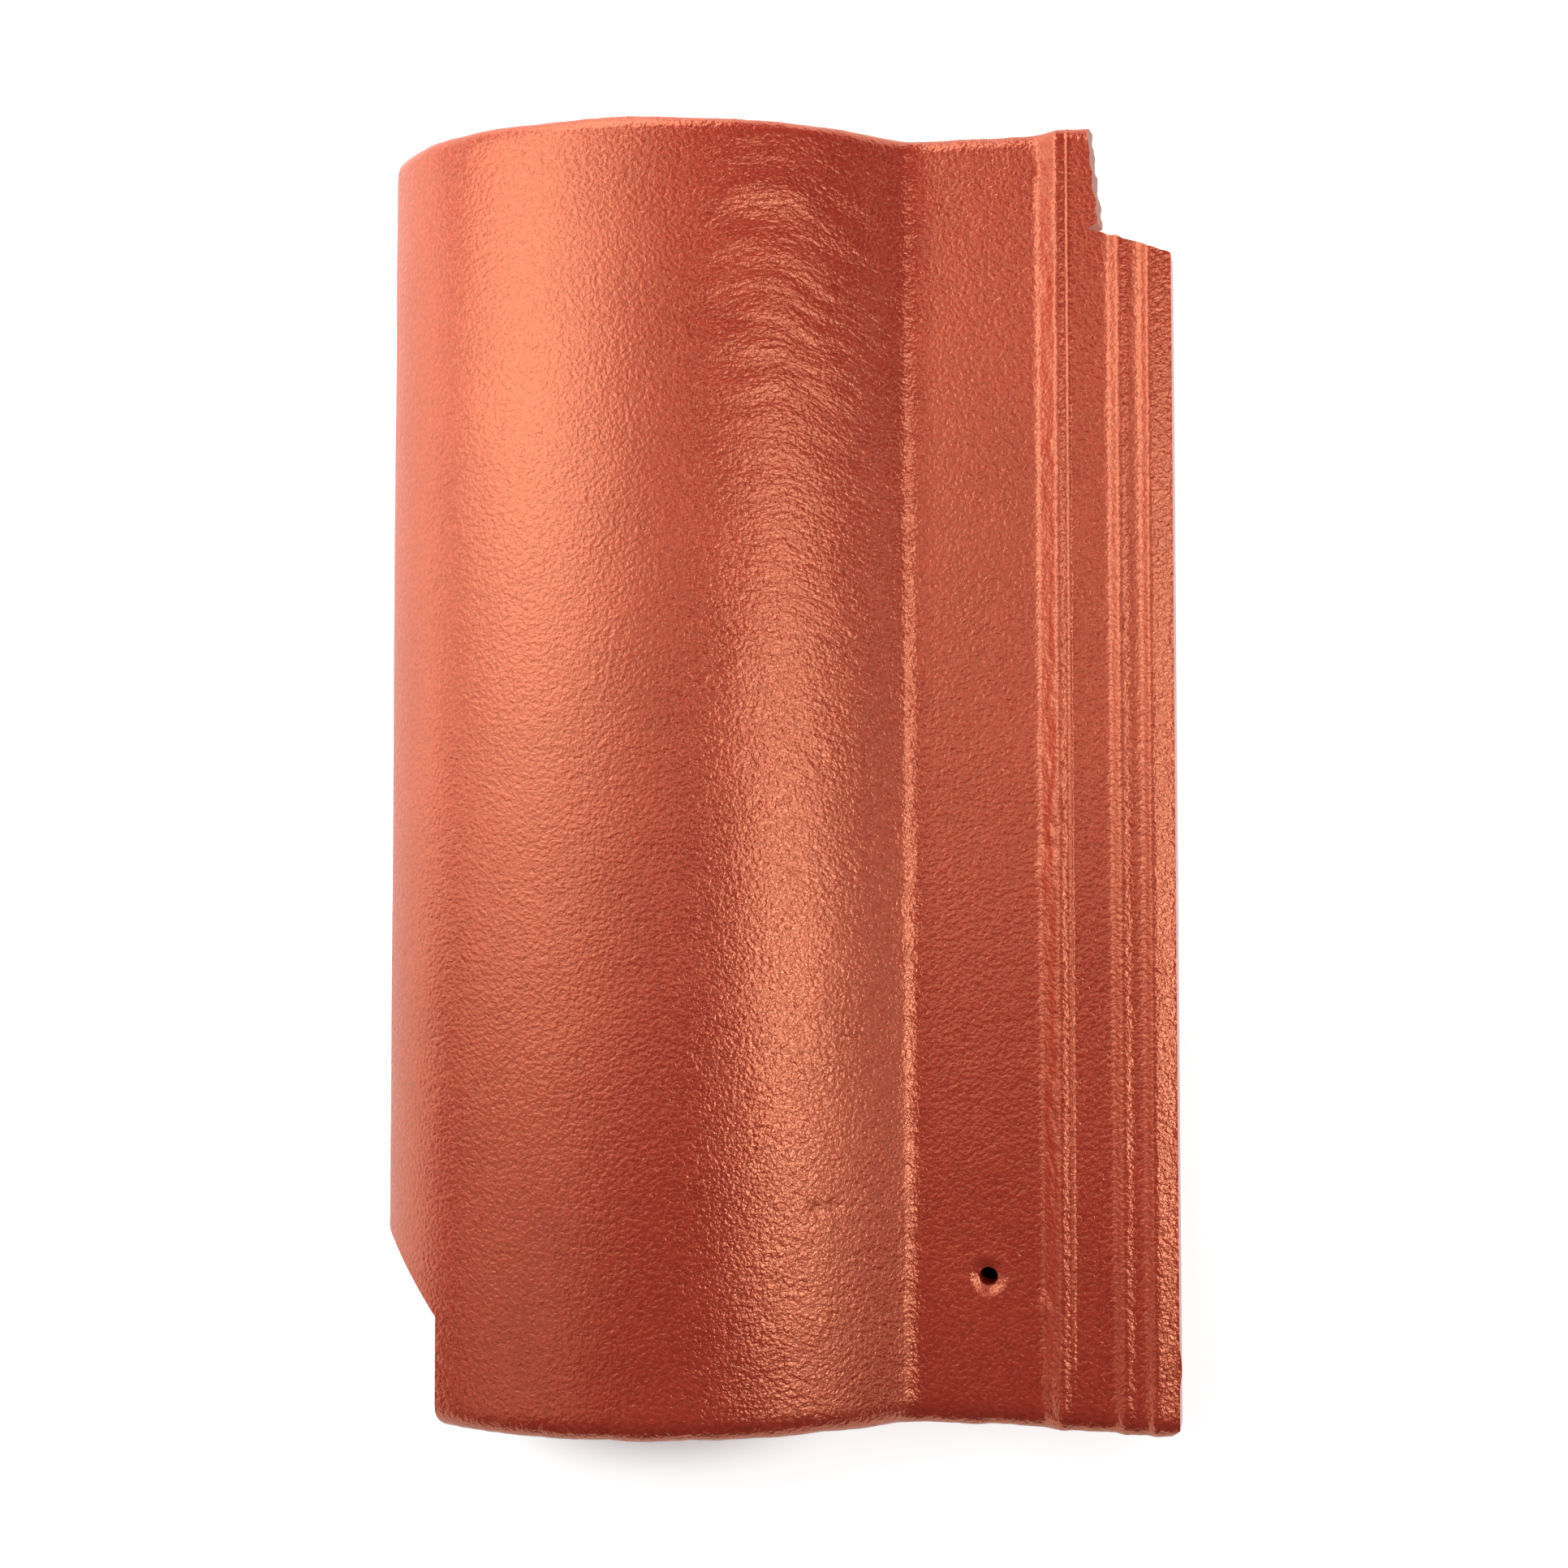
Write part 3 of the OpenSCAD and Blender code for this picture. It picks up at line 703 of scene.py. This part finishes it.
# Places that the furrows of the drag follow, drawn out across the tile and flattened in height.
FURROW_ACROSS, FURROW_UP = 3.2, 0.3
flat = np.empty(len(tile.data.vertices) * 3)
tile.data.vertices.foreach_get("co", flat)
own = native(flat.reshape(-1, 3))
lines = drag_line(own[:, 0], own[:, 1])
place = np.stack([own[:, 0] / FURROW_ACROSS, lines, own[:, 2] * FURROW_UP], -1) * 0.001
gain = drag_gain(own[:, 0], own[:, 1])
tile.data.attributes.new("drag_place", "FLOAT_VECTOR", "POINT").data.foreach_set("vector", place.ravel())
tile.data.attributes.new("drag_gain", "FLOAT", "POINT").data.foreach_set("value", gain)


def is_raw(face):
    """Whether a face is a broken one of the tail crop, which shows the paler raw clay."""
    x, y, _ = native(np.array([face.center]))[0]
    upright = abs(face.normal.z) < RAW_UPRIGHT
    across = crop_side - RAW_BEFORE_WALL < x < lip_foot[0] - RAW_EDGE
    ahead = TAIL - TAIL_CROP_L - TAIL_CROP_SLANT < y < TAIL - RAW_EDGE
    near = x < crop_side + RAW_PAST_WALL or y < TAIL - TAIL_CROP_L + RAW_PAST_LEDGE
    return upright and across and ahead and near


raw = [1.0 if is_raw(face) else 0.0 for face in tile.data.polygons]
tile.data.attributes.new("raw_clay", "FLOAT", "FACE").data.foreach_set("value", raw)


class Nodes:
    """Short ways to add and link the shader nodes of one tree."""

    def __init__(self, tree):
        self.tree = tree

    def feed(self, socket, value):
        """Links another node's output to a socket, or sets the socket to a constant."""
        if isinstance(value, bpy.types.NodeSocket):
            self.tree.links.new(value, socket)
        else:
            socket.default_value = value

    def add(self, kind, inputs=None, **settings):
        node = self.tree.nodes.new("ShaderNode" + kind)
        for name, value in settings.items():
            setattr(node, name, value)
        for key, value in (inputs or {}).items():
            self.feed(node.inputs[key], value)
        return node

    def math(self, operation, a, b):
        return self.add("Math", {0: a, 1: b}, operation=operation).outputs[0]

    def vector(self, operation, a, b=(0, 0, 0)):
        return self.add("VectorMath", {0: a, 1: b}, operation=operation).outputs

    def ranged(self, value, source, target, **settings):
        """A value mapped from one range onto another, and held at its ends."""
        inputs = {"Value": value, "From Min": source[0], "From Max": source[1]}
        inputs.update({"To Min": target[0], "To Max": target[1]})
        return self.add("MapRange", inputs, **settings).outputs["Result"]

    def noise(self, place, scale, detail, rough, distortion=0.0):
        inputs = {"Vector": place, "Scale": scale, "Detail": detail}
        inputs.update({"Roughness": rough, "Distortion": distortion})
        return self.add("TexNoise", inputs).outputs["Fac"]

    def attribute(self, name, output="Fac"):
        return self.add("Attribute", attribute_name=name).outputs[output]

    def mix(self, share, a, b, blend="MIX"):
        inputs = {0: share, 6: a, 7: b}
        return self.add("Mix", inputs, data_type="RGBA", blend_type=blend).outputs[2]

    def seen_or_mirrored(self, mirrored=1.0):
        """One for rays from the eye and for those that glass sends on, and mirrored for glossy ones."""
        ray = self.add("LightPath").outputs
        glossy = self.math("MULTIPLY", ray["Is Glossy Ray"], mirrored)
        through = self.math("MAXIMUM", glossy, ray["Is Transmission Ray"])
        return self.math("MAXIMUM", ray["Is Camera Ray"], through)


# Skin of the fired clay and its raw inside. A noise is cells a metre, detail, roughness and distortion.
SKIN_DARK, SKIN_LIGHT = (0.56, 0.055, 0.033, 1), (0.655, 0.070, 0.041, 1)
RAW_CLAY = (0.85, 0.45, 0.36, 1)
SHEEN_IOR, SHEEN_TINT, SHEEN_FIRED, SHEEN_RAW = 2.0, (1.0, 0.42, 0.23, 1), 1.0, 0.04
ROUGH_FIRED, ROUGHER_RAW = (0.11, 0.17), 0.5
PATCHES, SPOTS, NOISE_SPAN = (22, 5, 0.62), (90, 3, 0.6), (0.3, 0.7)
COARSE_GRAIN, COARSE_DEPTH = (720, 1, 0.45, 0.3), 0.38
FINE_GRAIN, FINE_DEPTH = (1500, 0, 0.5, 0.2), 0.04
CREASES, CREASE_SPAN, CREASE_DEPTH = (800, 1, 0.5, 0.2), (0.0, 0.09), 0.035
FURROWS, FURROW_DEPTH = (520, 3, 0.55, 0.2), 0.6
# Painted shade in the hollows of the grain and a little painted light on its tops: span of grain heights,
# and colour factors
HOLLOW_SPAN, PAINTED_HOLLOW_SHADE = (0.15, 0.27), (0.82, 1.06)
BUMP_HEIGHT = 0.00075


def clay():
    mat = bpy.data.materials.new("fired_clay")
    mat.use_nodes = True
    nodes = Nodes(mat.node_tree)
    shader = mat.node_tree.nodes["Principled BSDF"].inputs
    place = nodes.add("TexCoord").outputs["Object"]
    broken = nodes.attribute("raw_clay")

    # fine leathery grain, with creases between its cells
    coarse = nodes.math("MULTIPLY", nodes.noise(place, *COARSE_GRAIN), COARSE_DEPTH)
    fine = nodes.math("MULTIPLY", nodes.noise(place, *FINE_GRAIN), FINE_DEPTH)
    grain = nodes.math("ADD", coarse, fine)
    from_crease = nodes.math("SUBTRACT", nodes.noise(place, *CREASES), 0.5)
    crease = nodes.ranged(nodes.math("ABSOLUTE", from_crease, 0), CREASE_SPAN, (0.0, 1.0))
    # furrows of the drag, along the lines stored on the mesh
    furrow = nodes.noise(nodes.attribute("drag_place", "Vector"), *FURROWS)
    furrow = nodes.math("SUBTRACT", nodes.math("MULTIPLY", furrow, FURROW_DEPTH), FURROW_DEPTH / 2)
    furrow = nodes.math("MULTIPLY", furrow, nodes.attribute("drag_gain"))
    height = nodes.math("ADD", furrow, nodes.math("MULTIPLY", crease, CREASE_DEPTH))
    height = nodes.math("ADD", grain, height)
    bump = nodes.add("Bump", {"Strength": 1.0, "Distance": BUMP_HEIGHT, "Height": height})
    nodes.feed(shader["Normal"], bump.outputs["Normal"])

    # patchy colour, with shade painted into the hollows of the grain and a little painted light on its
    # tops
    ramp = nodes.add("ValToRGB", {"Fac": nodes.noise(place, *PATCHES)})
    for element, position, colour in zip(ramp.color_ramp.elements, NOISE_SPAN, (SKIN_DARK, SKIN_LIGHT)):
        element.position = position
        element.color = colour
    # painted shade in the hollows of the grain, painted light on its tops
    painted_grain_shade = nodes.ranged(grain, HOLLOW_SPAN, PAINTED_HOLLOW_SHADE)
    skin = nodes.mix(1.0, ramp.outputs["Color"], painted_grain_shade, "MULTIPLY")
    nodes.feed(shader["Base Color"], nodes.mix(broken, skin, RAW_CLAY))

    # sheen, which the raw clay lacks
    rough = nodes.ranged(nodes.noise(place, *SPOTS), NOISE_SPAN, ROUGH_FIRED)
    rough = nodes.math("ADD", rough, nodes.math("MULTIPLY", broken, ROUGHER_RAW))
    nodes.feed(shader["Roughness"], rough)
    nodes.feed(shader["IOR"], SHEEN_IOR)
    nodes.feed(shader["Specular Tint"], SHEEN_TINT)
    sheen = nodes.ranged(broken, (0.0, 1.0), (SHEEN_FIRED, SHEEN_RAW))
    nodes.feed(shader["Specular IOR Level"], sheen)
    return mat


tile.data.materials.clear()
tile.data.materials.append(clay())
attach(tile, "root")
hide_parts("roof_tile")

# Floor, white to the eye, in metres. Below the nail hole a shadow is painted into its colour and glow,
# where the tile's own shade falls, and in front of the arched head edge its glow is dimmed by a painted
# shadow over the real one, so that the shadow stays on it.
FLOOR_SPAN, FLOOR_WHITE, FLOOR_GLOW, FLOOR_ROUGH, FLOOR_SHEEN = 4.0, 0.88, 0.68, 0.9, 0.1
BELOW_HOLE, PAINTED_HOLE_SHADOW_SPAN = (0.069, -0.162, 0.0), (0.02, 0.03)
# Painted shadow in front of the arched head edge: its middle, scale, reach and the glow left at its middle
HEAD_ARCH, ARCH_SCALE = (-0.042, -0.212, 0.0), (18.0, 42.0, 0.0)
ARCH_SHADE, ARCH_GLOW = (0.25, 1.25), (0.2, 1.0)
GLOW_GROWS = (0.45, 0.95)


def floor_white():
    mat = bpy.data.materials.new("floor_white")
    mat.use_nodes = True
    nodes = Nodes(mat.node_tree)
    paint = mat.node_tree.nodes["Principled BSDF"].inputs
    spot = nodes.add("TexCoord").outputs["Object"]
    # painted shadow below the nail hole: the floor's colour and glow go dark there
    clear_of_painted_hole_shadow = nodes.ranged(nodes.vector("DISTANCE", spot, BELOW_HOLE)["Value"], PAINTED_HOLE_SHADOW_SPAN, (0.0, 1.0))
    # painted shadow in front of the arched head edge: the glow is dimmed there, over the real shadow
    from_arch = nodes.vector("SUBTRACT", spot, HEAD_ARCH)["Vector"]
    from_arch = nodes.vector("MULTIPLY", from_arch, ARCH_SCALE)["Vector"]
    from_arch = nodes.vector("LENGTH", from_arch)["Value"]
    painted_arch_shadow = nodes.ranged(from_arch, ARCH_SHADE, ARCH_GLOW, interpolation_type="SMOOTHSTEP")
    # farther out, where the lamps don't reach, the floor glows up to white
    glow = nodes.ranged(nodes.vector("LENGTH", spot)["Value"], GLOW_GROWS, (FLOOR_GLOW, 1.0))
    # the glow, with both painted shadows taken out of it
    glow = nodes.math("MULTIPLY", glow, nodes.math("MULTIPLY", clear_of_painted_hole_shadow, painted_arch_shadow))
    glow = nodes.math("MULTIPLY", nodes.seen_or_mirrored(), glow)
    # colour of the floor, with the painted shadow below the nail hole
    nodes.feed(paint["Base Color"], nodes.math("MULTIPLY", clear_of_painted_hole_shadow, FLOOR_WHITE))
    nodes.feed(paint["Roughness"], FLOOR_ROUGH)
    nodes.feed(paint["Specular IOR Level"], FLOOR_SHEEN)
    nodes.feed(paint["Emission Color"], (1, 1, 1, 1))
    nodes.feed(paint["Emission Strength"], glow)
    return mat


floor_mesh = bpy.data.meshes.new("floor")
corners = [(x * FLOOR_SPAN, y * FLOOR_SPAN, 0) for x, y in ((-1, -1), (1, -1), (1, 1), (-1, 1))]
floor_mesh.from_pydata(corners, [], [(0, 1, 2, 3)])
floor = bpy.data.objects.new("floor", floor_mesh)
bpy.context.scene.collection.objects.link(floor)
floor_mesh.materials.append(floor_white())


def area_light(name, place, aim, width, power, colour):
    data = bpy.data.lights.new(name, "AREA")
    data.shape = "RECTANGLE"
    data.size = data.size_y = width
    data.energy = power
    data.color = colour
    ob = bpy.data.objects.new(name, data)
    ob.location = place
    ob.rotation_euler = (aim - place).to_track_quat("-Z", "Y").to_euler()
    ob.visible_camera = False
    bpy.context.scene.collection.objects.link(ob)


# Soft lamps around the tile: azimuth and height in degrees, distance, width, power and colour.
AIM = Vector((0.02, 0.0, 0.03))
PLAIN, COOL = (1.0, 1.0, 1.0), (0.91, 1.0, 1.0)
LAMPS = (
    # right of the tile, low, then at the height that the flank of the roll mirrors
    (0, 8, 1.0, 0.8, 1.3, PLAIN),
    (-25, 45, 1.0, 0.5, 0.65, PLAIN),
    (-15, 55, 1.0, 0.2, 0.5, PLAIN),
    (-5, 55, 1.0, 0.5, 1.1, PLAIN),
    (30, 55, 0.7, 0.3, 0.5, PLAIN),
    # tail end, raking along the tile, and nearly overhead
    (105, 20, 0.7, 0.4, 1.4, PLAIN),
    (125, 75, 1.0, 0.6, 0.75, COOL),
    # left of the tail, close by, for the sheen along the roll
    (125, 38, 0.62, 0.4, 0.35, COOL),
    (145, 38, 0.62, 0.4, 0.7, COOL),
    (165, 50, 0.62, 0.4, 0.6, COOL),
    (205, 40, 0.62, 0.4, 0.2, COOL),
    # left, low, for the free edge of the roll
    (155, 15, 1.0, 1.2, 3.0, PLAIN),
    (165, 12, 0.62, 0.4, 0.25, PLAIN),
)
for number, (turn, rise, away, width, power, colour) in enumerate(LAMPS):
    across, up = math.radians(turn), math.radians(rise)
    way = Vector((math.cos(up) * math.cos(across), math.cos(up) * math.sin(across), math.sin(up)))
    area_light("lamp_%d" % number, AIM + away * way, AIM, width, power, colour)

# World, white to the eye. Mirrors show the white round the horizon, and above it the dark room.
WORLD_LEVEL, HORIZON = 0.01, (0.1, 0.22)
world = bpy.data.worlds.new("world")
world.use_nodes = True
nodes = Nodes(world.node_tree)
sky = world.node_tree.nodes["Background"].inputs
heading = nodes.add("TexCoord").outputs["Generated"]
upward = nodes.add("SeparateXYZ", {0: heading}).outputs["Z"]
shown = nodes.seen_or_mirrored(nodes.ranged(upward, HORIZON, (1.0, 0.0)))
nodes.feed(sky["Color"], (1, 1, 1, 1))
nodes.feed(sky["Strength"], nodes.ranged(shown, (0.0, 1.0), (WORLD_LEVEL, 1.0)))
bpy.context.scene.world = world

# Camera, fitted to the outline of the tile in the photo: place in metres and turn in degrees.
CAMERA_PLACE, CAMERA_TURN = (0.04398, -0.004601, 0.683831), (0.0859, 3.5639, -0.1655)
CAMERA_LENS, CAMERA_SENSOR = 46.4477, 36.0
scene = bpy.context.scene
scene.view_settings.view_transform = "Standard"
cam_data = bpy.data.cameras.new("camera")
cam_data.sensor_width = CAMERA_SENSOR
cam_data.lens = CAMERA_LENS
cam = bpy.data.objects.new("camera", cam_data)
cam.location = CAMERA_PLACE
cam.rotation_euler = Euler([math.radians(a) for a in CAMERA_TURN], "XYZ")
scene.collection.objects.link(cam)
scene.camera = cam
